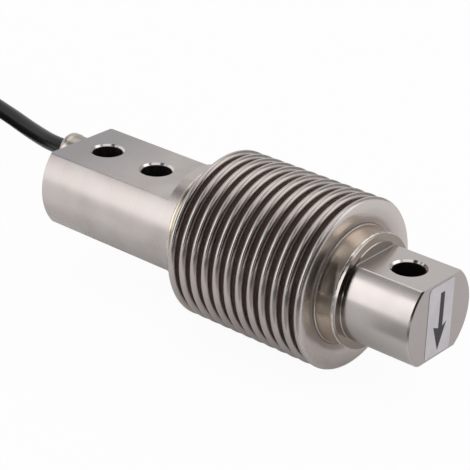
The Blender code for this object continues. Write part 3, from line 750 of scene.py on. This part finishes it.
def plate_from(name, outline, back, front):
    """An outline of (y, height from the axis) points, filled and given its thickness along X."""
    piece = draw(name, [(back, y, AXIS_Z + z) for y, z in [*outline, outline[0]]])
    bpy.ops.mesh.select_all(action="SELECT")
    bpy.ops.mesh.remove_doubles(threshold=MERGE_DISTANCE)
    bpy.ops.mesh.select_all(action="SELECT")
    bpy.ops.mesh.edge_face_add()
    bpy.ops.mesh.extrude_region_move(TRANSFORM_OT_translate={"value": (front - back, 0.0, 0.0)})
    weld()
    return settle(piece)


def flat_cutter(start, end, side, half, radius):
    """What the mill takes off over one flat: along its two edges it breaks the corner with the round."""
    edge = math.sqrt(radius ** 2 - half ** 2) - EDGE_BREAK
    foot = half - (REACH - edge) * math.tan(math.asin(edge / radius) / 2)
    outline = [(-REACH, foot), (-edge, half), (edge, half), (REACH, foot), (REACH, REACH), (-REACH, REACH)]
    cutter = plate_from("flat", [(y, side * z) for y, z in outline], start, end)
    pick_edges(cutter, lambda a, b: max(a.x, b.x) < start + TOUCH
               and max(abs(a.z - AXIS_Z), abs(b.z - AXIS_Z)) < half + TOUCH)
    bpy.ops.mesh.bevel(offset=FLAT_FILLET, segments=2)
    bpy.ops.object.mode_set(mode="OBJECT")
    return cutter


def measuring_body():
    cuff_seat = CUFF_RADIUS - BELLOWS_WALL - GAP
    rim_seat = RIM_RADIUS - BELLOWS_WALL - GAP
    profile = [
        (BACK_X, FIXED_RADIUS - EDGE_CHAMFER), (BACK_X + EDGE_CHAMFER, FIXED_RADIUS),
        (CUFF_X - GAP, FIXED_RADIUS), (CUFF_X - GAP, cuff_seat),
        (BEAM_BACK_X, cuff_seat), (BEAM_FRONT_X, rim_seat),
        (RIM_X + GAP, rim_seat), (RIM_X + GAP, RIM_RADIUS),
        (BLOCK_X - COLLAR_CHAMFER, RIM_RADIUS), (BLOCK_X - COLLAR_CHAMFER, LOAD_RADIUS + COLLAR_CHAMFER),
        (BLOCK_X, LOAD_RADIUS), (FRONT_X - EDGE_CHAMFER, LOAD_RADIUS), (FRONT_X, LOAD_RADIUS - EDGE_CHAMFER),
    ]
    body = lathe("steel_body", profile, steps=144, capped=True)
    flats = ((BACK_X - PAST, FIXED_FLAT_END, FIXED_HALF_THICKNESS, FIXED_RADIUS),
             (BLOCK_X, FRONT_X + PAST, LOAD_HALF_THICKNESS, LOAD_RADIUS))
    for side in (1, -1):
        for start, end, half, radius in flats:
            carve(body, flat_cutter(start, end, side, half, radius))
        low, high = sorted((AXIS_Z + side * BEAM_HALF_HEIGHT, AXIS_Z + side * REACH))
        pocket = block("pocket", (BEAM_BACK_X, -REACH, low), (BEAM_FRONT_X, REACH, high))
        carve(body, round_edges(pocket, 1, BEAM_FILLET))
        low, high = sorted((side * BEAM_HALF_WIDTH, side * REACH))
        pocket = block("pocket", (BEAM_BACK_X, low, -REACH), (BEAM_FRONT_X, high, AXIS_Z + REACH))
        carve(body, round_edges(pocket, 2, BEAM_FILLET))
    for x, half in zip(BOLT_X, (FIXED_HALF_THICKNESS, FIXED_HALF_THICKNESS, LOAD_HALF_THICKNESS)):
        wide, past = BOLT_RADIUS + BOLT_CHAMFER, half + PAST
        hole = [(-past, wide), (-half, wide), (BOLT_CHAMFER - half, BOLT_RADIUS),
                (half - BOLT_CHAMFER, BOLT_RADIUS), (half, wide), (past, wide)]
        carve(body, upright("hole", [(AXIS_Z + z, r) for z, r in hole], steps=72, x=x))
    for side in (1, -1):
        select_none()
        bpy.ops.mesh.primitive_cylinder_add(
            vertices=64, radius=BEAM_BORE_RADIUS, depth=BORE_CUT, rotation=(math.pi / 2, 0.0, 0.0),
            location=(BEAM_X + side * BEAM_BORE_SPACING / 2, 0.0, AXIS_Z))
        carve(body, settle(bpy.context.object))
    half = BEAM_SLOT_HEIGHT / 2
    carve(body, block("slot", (BEAM_X - BEAM_BORE_SPACING / 2, -BORE_CUT / 2, AXIS_Z - half),
                      (BEAM_X + BEAM_BORE_SPACING / 2, BORE_CUT / 2, AXIS_Z + half)))
    socket = SPIGOT_RADIUS + GAP
    floor = SPIGOT_X + GAP
    channel = [(BACK_X - PAST, socket), (floor, socket), (floor, CHANNEL_RADIUS),
               (BEAM_BACK_X + PAST, CHANNEL_RADIUS)]
    carve(body, lathe("channel", channel, steps=48, y=GLAND_Y, capped=True))
    smooth(body, angle=10)
    return body


# The bellows and its weld beads

CREST_POINTS, VALLEY_POINTS, HALF_VALLEY_POINTS = 13, 9, 5
LIP_POINTS, CUFF_POINTS, BEAD_POINTS = 8, 10, 13
CUFF_END = 0.0004
# A bead's swell round its ring: how much, how many times, and from which angle
BEAD_SWELLS = ((0.14, 7, 1.0), (0.12, 19, 0.0), (0.08, 43, 2.0))


def convolution_profile():
    """The bellows' outer skin, from the fixed cuff's edge to the load cuff's rim."""
    crest = BELLOWS_RADIUS - CREST_RADIUS
    root_radius = PITCH / 2 - CREST_RADIUS
    valley = CUFF_RADIUS + root_radius
    profile = [(CUFF_X, CUFF_RADIUS), (FIRST_CREST_X - CREST_RADIUS - root_radius - CUFF_END, CUFF_RADIUS)]
    profile += arc((FIRST_CREST_X - PITCH / 2, valley), root_radius, -90, 0, HALF_VALLEY_POINTS)
    for i in range(CONVOLUTIONS):
        x = FIRST_CREST_X + i * PITCH
        profile += arc((x, crest), CREST_RADIUS, 180, 0, CREST_POINTS)
        if i < CONVOLUTIONS - 1:
            profile += arc((x + PITCH / 2, valley), root_radius, 180, 360, VALLEY_POINTS)
    face = LAST_CREST_X + CREST_RADIUS
    profile += [(face - behind, crest - below) for behind, below in DISC_DISHING]
    profile += arc((face - DISC_DISH + LIP_FILLET, LIP_RADIUS + LIP_FILLET), LIP_FILLET, 180, 262, LIP_POINTS)
    start = LIP_X + LIP_FILLET / 2
    span = RIM_X - LIP_X - LIP_FILLET / 2
    drop = LIP_RADIUS - RIM_RADIUS + RIM_DIP
    for i in range(1, CUFF_POINTS + 1):
        t = i / CUFF_POINTS
        profile.append((start + t * span, LIP_RADIUS - drop * (1 - (1 - t) ** CUFF_HOLLOW)))
    return profile


def bellows_skin():
    skin = lathe("bellows_skin", convolution_profile(), steps=128)
    apply(skin, "SOLIDIFY", thickness=BELLOWS_WALL, offset=-1.0, use_even_offset=True)
    smooth(skin, angle=50)
    return skin


def weld_bead(name, x, radius, size):
    """A fine ring of weld metal on a seam."""
    bead = lathe(name, [(x + u, v) for u, v in arc((0.0, radius), size, 0, 360, BEAD_POINTS)], steps=240)
    for vertex in bead.data.vertices:
        a = math.atan2(vertex.co.y, vertex.co.z - AXIS_Z)
        middle = Vector((x, radius * math.sin(a), AXIS_Z + radius * math.cos(a)))
        swell = 1.0
        for share, count, phase in BEAD_SWELLS:
            swell += share * math.sin(count * a + phase)
        vertex.co = middle + (vertex.co - middle) * swell
    smooth(bead, angle=80)
    return bead


# The gland and its seal

GROMMET_PLAY = 0.0001
GROMMET_LIP = 0.0004


def gland_piece():
    shank = GLAND_RADIUS - GLAND_GROOVE
    floor = SHEATH_END_X + GAP
    slope_start, slope_end = (GLAND_X + GLAND_BAND + along for along in GLAND_SLOPE)
    profile = [
        (GLAND_X + GLAND_LEAD_IN, GLAND_BORE), (GLAND_X, GLAND_BORE + GLAND_LEAD_IN),
        *arc((GLAND_X + GLAND_EDGE, GLAND_RADIUS - GLAND_EDGE), GLAND_EDGE, 180, 90, 6),
        (slope_start, GLAND_RADIUS), (slope_end, shank), (BACK_X - GAP, shank), (BACK_X - GAP, SPIGOT_RADIUS),
        (SPIGOT_X, SPIGOT_RADIUS), (SPIGOT_X, CHANNEL_RADIUS), (floor, CHANNEL_RADIUS), (floor, GLAND_BORE),
        (GLAND_X + GLAND_LEAD_IN, GLAND_BORE),
    ]
    gland = lathe("gland_sleeve", profile, steps=96, y=GLAND_Y)
    smooth(gland)
    return gland


def grommet_piece():
    low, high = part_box("gland_grommet")
    inner = CABLE_DIAMETER / 2 + GROMMET_PLAY
    thick = (high.y - low.y) / 2
    lip, third = GROMMET_LIP, GROMMET_LIP / 3
    profile = [
        (low.x + lip, inner), (low.x + third, inner + third), (low.x, inner + lip),
        (low.x, thick - lip), (low.x + third, thick - third), (low.x + lip, thick),
        (high.x, thick), (high.x, inner), (low.x + lip, inner),
    ]
    grommet = lathe("gland_seal", profile, steps=64, y=GLAND_Y)
    smooth(grommet)
    return grommet


# The label on the end face

LABEL_CORNER = 0.0008
LABEL_CUT_CORNER = 0.0015
LABEL_BACK_X = FRONT_X + 0.00002
LABEL_FRONT_X = FRONT_X + 0.00009
ARROW_THICKNESS = 0.00002
# The arrow, in the label's own Y and height from its middle, drawn clockwise from its shaft's top
ARROW = [(-0.0004, 0.0071), (0.0013, 0.0071), (0.0013, -0.0024), (0.0029, -0.0015),
         (-0.0001, -0.0085), (-0.0025, -0.0015), (-0.0004, -0.0024)]


def label_pieces(plate_finish, arrow_finish):
    half_y, half_z = (label_high.y - label_low.y) / 2, (label_high.z - label_low.z) / 2
    radii = (LABEL_CORNER, LABEL_CUT_CORNER, LABEL_CORNER, LABEL_CORNER)
    outline = rounded((-half_y, -half_z), (half_y, half_z), radii, 6)
    plate = plate_from("label_film", outline, LABEL_BACK_X, LABEL_FRONT_X)
    smooth(plate)
    dress(plate, plate_finish, "label_foil", "direction_label")
    arrow = plate_from("label_arrow", ARROW, LABEL_FRONT_X, LABEL_FRONT_X + ARROW_THICKNESS)
    smooth(arrow)
    dress(arrow, arrow_finish, "label_foil")


# The ties round the hank

TIE_WIDTH = 0.0036
TIE_THICKNESS = 0.0010
STRAP_THICKNESS = TIE_THICKNESS * 0.9
STRAP_CORNER = 0.0015
HEAD_HEIGHT = 0.0040
HEAD_HALF = 0.0025
# The corners of the head's slot and of the tongue, from the middle of the head's underside
HEAD_SLOT = ((-0.0015, -0.0040, 0.0012), (0.0015, 0.0040, 0.0026))
TONGUE = ((-0.00125, -0.0052, 0.0015), (0.00125, 0.0036, 0.0023))


def tie_piece(node):
    """A strap drawn round one side of the hank, with its head, slot and trimmed tongue on top."""
    low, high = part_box(node)
    x, y = (low.x + high.x) / 2, (low.y + high.y) / 2
    head_low = high.z - HEAD_HEIGHT - TIE_THICKNESS / 2
    top = head_low - TIE_THICKNESS / 2
    inside_low = (low.y + TIE_THICKNESS, low.z + TIE_THICKNESS)
    inside_high = (high.y - TIE_THICKNESS, top)
    loop = rounded(inside_low, inside_high, [STRAP_CORNER] * 4, 7)
    strap = draw(node + "_strap", [(x - TIE_WIDTH / 2, y, z) for y, z in [*loop, loop[0]]])
    bpy.ops.mesh.select_all(action="SELECT")
    bpy.ops.mesh.extrude_region_move(TRANSFORM_OT_translate={"value": (TIE_WIDTH, 0.0, 0.0)})
    weld()
    strap = settle(strap)
    apply(strap, "SOLIDIFY", thickness=STRAP_THICKNESS, offset=1.0, use_even_offset=True)
    soften(strap, 0.00018, angle=50)
    head = block(node + "_head", (x - HEAD_HALF, y - HEAD_HALF, top + STRAP_THICKNESS),
                 (x + HEAD_HALF, y + HEAD_HALF, high.z))
    carve(head, block("slot", *[(x + dx, y + dy, head_low + dz) for dx, dy, dz in HEAD_SLOT]))
    soften(head, 0.0003, angle=40)
    tongue = block(node + "_tongue", *[(x + dx, y + dy, head_low + dz) for dx, dy, dz in TONGUE])
    soften(tongue, 0.0002, angle=40)
    for piece in (strap, head, tongue):
        smooth(piece, angle=40)
    return strap, head, tongue


# The flying leads at the cable's bare end

LEAD_LENGTH = 0.0290
LEAD_SPACING = 0.0010
FAN_PITCH = 0.0022
CORE_OFFSET = 0.00085
CORE_THICKNESS = 0.0008
DRAIN_THICKNESS = 0.0006
STRAND_SHARE = 0.7
STRIPPED_POINTS = 6
# Each wire's colour, its place in the fan and its side of the cable's middle in Y and Z
WIRES = (
    ("red", 2, 1, 1),
    ("black", 1, 1, -1),
    ("green", -1, -1, -1),
    ("white", -2, -1, 1),
    ("drain", 0, 0, 0),
)


def flying_leads(finishes, strands):
    """The four cores with stripped, tinned ends, and the bare drain wire."""
    tail_y = HANK_Y - TAIL_RADIUS
    start = TAIL_END_X + GAP
    made = []
    for colour, fan_place, side_y, side_z in WIRES:
        thick = DRAIN_THICKNESS if colour == "drain" else CORE_THICKNESS
        y, z = tail_y + side_y * CORE_OFFSET, TAIL_Z + side_z * CORE_OFFSET
        rest = hank_high.z + GAP + thick / 2
        fan = tail_y + fan_place * FAN_PITCH
        route = smooth_route([
            (start, y, z),
            (start + LEAD_LENGTH / 10, y, z),
            (start + LEAD_LENGTH / 2, (y + fan) / 2, (z + rest) / 2),
            (start + LEAD_LENGTH * 4 / 5, (tail_y + 4 * fan) / 5, rest + GAP),
            (start + LEAD_LENGTH, fan, rest),
        ], LEAD_SPACING)
        node = f"lead_{colour}"
        if colour == "drain":
            made.append(dress(tube("drain_wire", route, thick), strands, "tinned_copper", node))
            continue
        sleeve = tube(f"{node}_sleeve", route[:-STRIPPED_POINTS], thick)
        made.append(dress(sleeve, finishes[colour], f"core_{colour}", node))
        ends = tube(f"{node}_strands", route[-STRIPPED_POINTS - 1:], thick * STRAND_SHARE)
        made.append(dress(ends, strands, "tinned_copper"))
    return made


# The pieces, made and dressed

steel = body_steel()
thin_steel = bellows_steel()
bead = bead_steel()
rubber = plain_finish("seal_rubber", (0.02, 0.02, 0.02), 0.65, grain=1800.0)
film = plain_finish("label_film_silver", (0.645, 0.615, 0.650), 0.36, 0.4, grain=1500.0, depth=0.000001)
ink = plain_finish("label_ink", (0.022, 0.016, 0.022), 0.46, grain=1500.0, depth=0.000001)
nylon = plain_finish("tie_nylon", (0.80, 0.80, 0.76), 0.42, grain=1200.0)
tinned = plain_finish("tinned_strands", (0.70, 0.68, 0.66), 0.32, 1.0, grain=3000.0)
sleeves = {
    "red": plain_finish("sleeve_red", (0.60, 0.03, 0.03), 0.38),
    "black": plain_finish("sleeve_black", (0.02, 0.02, 0.02), 0.38),
    "green": plain_finish("sleeve_green", (0.03, 0.32, 0.08), 0.38),
    "white": plain_finish("sleeve_white", (0.80, 0.80, 0.78), 0.38),
}

dress(measuring_body(), steel, "satin_steel", "measuring_body")
dress(bellows_skin(), thin_steel, "bellows_steel", "bellows")
# The weld beads: station, radius of the ring, radius of the bead
for name, x, radius, size in (
    ("weld_bead_fixed", CUFF_X - 0.0001, CUFF_RADIUS - 0.0001, 0.00016),
    ("weld_bead_load", RIM_X + 0.0001, RIM_RADIUS - 0.00012, 0.00036),
    ("seam_lip", LIP_X - 0.0001, LIP_RADIUS, 0.00014),
):
    dress(weld_bead(name, x, radius, size), bead, "bellows_steel")
dress(gland_piece(), gland_steel(), "gland_steel", "gland_body")
dress(grommet_piece(), rubber, "black_rubber", "gland_grommet")
label_pieces(film, ink)
tie_pieces = []
for node in ("cable_tie_left", "cable_tie_right"):
    strap, head, tongue = tie_piece(node)
    dress(strap, nylon, "white_nylon", node)
    dress(head, nylon, "white_nylon")
    dress(tongue, nylon, "white_nylon")
    tie_pieces += [strap, head, tongue]
lead_pieces = flying_leads(sleeves, tinned)

for node, finish in (
    ("feedthrough_plug", plain_finish("cast_resin", (0.09, 0.07, 0.05), 0.40)),
    ("terminal_board", plain_finish("board_lacquer", (0.05, 0.22, 0.10), 0.42)),
    ("zero_resistor", plain_finish("glazed_ceramic", (0.05, 0.05, 0.06), 0.45)),
    ("span_resistor", plain_finish("glazed_ceramic_dark", (0.05, 0.05, 0.06), 0.45)),
    *((f"strain_gauge_{side}_{end}", plain_finish("gauge_film", (0.72, 0.48, 0.16), 0.35))
      for side in ("top", "bottom") for end in ("back", "front")),
    *((f"gauge_lead_{side}_{end}", plain_finish("copper_enamel", (0.60, 0.22, 0.10), 0.30, 1.0))
      for side in ("top", "bottom") for end in ("back", "front")),
    *((f"core_{colour}", sleeves[colour]) for colour in CORES),
):
    node_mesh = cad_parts[node].data
    node_mesh.materials.clear()
    node_mesh.materials.append(finish)


# Studio

CELL_MIDDLE = Vector((0.040, 0.0, AXIS_Z))
FLOOR_HALF = 4.0
CARD_LIFT = 0.00005
SCREEN_LIFT = 0.002
SCREEN_STEP = 6
WORLD_GREY = 0.72
# The shares of white that the camera sees in the floor, and that metal mirrors in floor, card and world
WHITE_SEEN = 0.95
FLOOR_MIRRORED = 0.08
CARD_MIRRORED = 0.55
WORLD_MIRRORED = 0.15
SIDE_CARD = [(0.000, -0.035), (-0.350, -0.035), (-0.600, -0.300), (-0.300, -0.650), (-0.090, -0.125)]
FRONT_CARD = [(0.010, -0.160), (0.145, -0.025), (0.600, -0.480), (0.300, -0.750)]
NEAR_CARD = [(0.074, -0.034), (0.145, -0.025), (0.010, -0.160)]


def see_white(finish, share_mirrored):
    """Lets the camera, and metal in part, see a surface as the white of the background."""
    tree, shader = finish.tree, finish.shader
    path = finish.node("ShaderNodeLightPath", {})
    seen = Field(finish, path.outputs["Is Camera Ray"]) * WHITE_SEEN
    mirrored = Field(finish, path.outputs["Is Glossy Ray"]) * share_mirrored
    glow = finish.node("ShaderNodeEmission", {}, (1.0, 1.0, 1.0, 1.0), 1.0)
    mixed = finish.node("ShaderNodeMixShader", {}, seen + mirrored)
    tree.links.new(shader.outputs[0], mixed.inputs[1])
    tree.links.new(glow.outputs[0], mixed.inputs[2])
    tree.links.new(mixed.outputs[0], tree.nodes["Material Output"].inputs["Surface"])


def studio_floor():
    select_none()
    bpy.ops.mesh.primitive_plane_add(size=2 * FLOOR_HALF, location=(0.0, 0.0, FLOOR_Z))
    sheet = settle(bpy.context.object)
    sheet.name = "studio_floor"
    finish = Finish("studio_white", (0.90, 0.90, 0.90), 0.9)
    see_white(finish, FLOOR_MIRRORED)
    sheet.data.materials.append(finish.material)
    card = Finish("studio_white_card", (0.90, 0.90, 0.90), 0.9)
    see_white(card, CARD_MIRRORED)
    floor_card("side_card", SIDE_CARD, card)


def only_mirrored(sheet, finish):
    """Steel mirrors the sheet; it takes no light away and the camera doesn't see it."""
    sheet.data.materials.append(finish.material)
    sheet.visible_camera = False
    sheet.visible_diffuse = False
    sheet.visible_shadow = False


def floor_card(name, corners, finish):
    """A sheet on the floor."""
    card = draw(name, [(x, y, FLOOR_Z + CARD_LIFT) for x, y in corners])
    bpy.ops.mesh.select_all(action="SELECT")
    bpy.ops.mesh.edge_face_add()
    settle(card)
    only_mirrored(card, finish)


def screen(name, start, end, low, high, finish, distance=0.80):
    """A curved screen round the cell, from one bearing to another and between two heights, in degrees."""
    select_none()
    a = math.radians(start)
    x, y = CELL_MIDDLE.x + distance * math.cos(a), CELL_MIDDLE.y + distance * math.sin(a)
    bottom, top = (CELL_MIDDLE.z + distance * math.tan(math.radians(rise)) for rise in (low, high))
    sheet = draw(name, [(x, y, max(bottom, FLOOR_Z + SCREEN_LIFT)), (x, y, top)])
    bpy.ops.mesh.select_all(action="SELECT")
    bpy.ops.mesh.spin(steps=max(2, round((end - start) / SCREEN_STEP)), angle=math.radians(start - end),
                      center=CELL_MIDDLE, axis=(0.0, 0.0, 1.0))
    settle(sheet)
    only_mirrored(sheet, finish)


def lamp(name, bearing, rise, distance, size, radiance):
    """An area light that shines on the cell from a bearing and a height, both in degrees."""
    a, e = math.radians(bearing), math.radians(rise)
    away = Vector((math.cos(a) * math.cos(e), math.sin(a) * math.cos(e), math.sin(e)))
    data = bpy.data.lights.new(name, "AREA")
    data.shape = "RECTANGLE"
    data.size, data.size_y = size
    data.energy = radiance * math.pi * size[0] * size[1]
    light = bpy.data.objects.new(name, data)
    bpy.context.scene.collection.objects.link(light)
    light.location = CELL_MIDDLE + away * distance
    light.rotation_mode = "QUATERNION"
    light.rotation_quaternion = away.to_track_quat("Z", "Y")
    light.visible_camera = False


def studio_world():
    """An even grey world that the camera sees as white, and metal in part."""
    world = bpy.data.worlds.new("studio")
    bpy.context.scene.world = world
    world.use_nodes = True
    tree = world.node_tree
    soft = tree.nodes["Background"]
    soft.inputs["Color"].default_value = (WORLD_GREY, WORLD_GREY, WORLD_GREY, 1.0)
    white = tree.nodes.new("ShaderNodeBackground")
    white.inputs["Color"].default_value = (1.0, 1.0, 1.0, 1.0)
    path = tree.nodes.new("ShaderNodeLightPath")
    share = tree.nodes.new("ShaderNodeMath")
    share.operation = "MULTIPLY_ADD"
    share.inputs[1].default_value = WORLD_MIRRORED
    mixed = tree.nodes.new("ShaderNodeMixShader")
    tree.links.new(path.outputs["Is Glossy Ray"], share.inputs[0])
    tree.links.new(path.outputs["Is Camera Ray"], share.inputs[2])
    tree.links.new(share.outputs[0], mixed.inputs[0])
    tree.links.new(soft.outputs[0], mixed.inputs[1])
    tree.links.new(white.outputs[0], mixed.inputs[2])
    tree.links.new(mixed.outputs[0], tree.nodes["World Output"].inputs["Surface"])


studio_floor()
studio_world()
black_cloth = Finish("studio_black_cloth", (0.03, 0.03, 0.03), 0.9)
grey_cloth = Finish("studio_grey_cloth", (0.14, 0.14, 0.14), 0.9)
dim_cloth = Finish("studio_dim_cloth", (0.25, 0.25, 0.25), 0.9)
pale_cloth = Finish("studio_pale_cloth", (0.45, 0.45, 0.45), 0.9)
# Screens: the bearings and the heights between which each stands, in degrees, its cloth and its distance
screen("screen_left", -113, -79, -5, 54, black_cloth)
screen("screen_left_high", -132, -88, 54, 67, black_cloth, 0.85)
screen("screen_right", -71, 12, -5, 51, black_cloth)
screen("screen_boom", 6, 26, 48, 63, black_cloth, 0.90)
screen("screen_high", -198, -138, 43, 56, dim_cloth, 0.90)
screen("screen_rear", -175, -147, -5, 14, dim_cloth, 1.00)
screen("screen_back", 68, 112, -5, 50, pale_cloth, 1.20)
floor_card("front_card", FRONT_CARD, grey_cloth)
floor_card("near_card", NEAR_CARD, pale_cloth)

# Lamps: bearing and height in degrees, distance, size and radiance
lamp("softbox_left", -125, 16, 0.90, (0.36, 0.82), 1.10)
lamp("strip_front", -75, 8, 0.90, (0.12, 0.45), 0.20)
lamp("softbox_right", 36, 40, 1.00, (0.75, 0.55), 0.58)
lamp("softbox_top", 158, 67, 1.10, (0.75, 0.60), 0.58)
bpy.context.scene.view_settings.view_transform = "Standard"
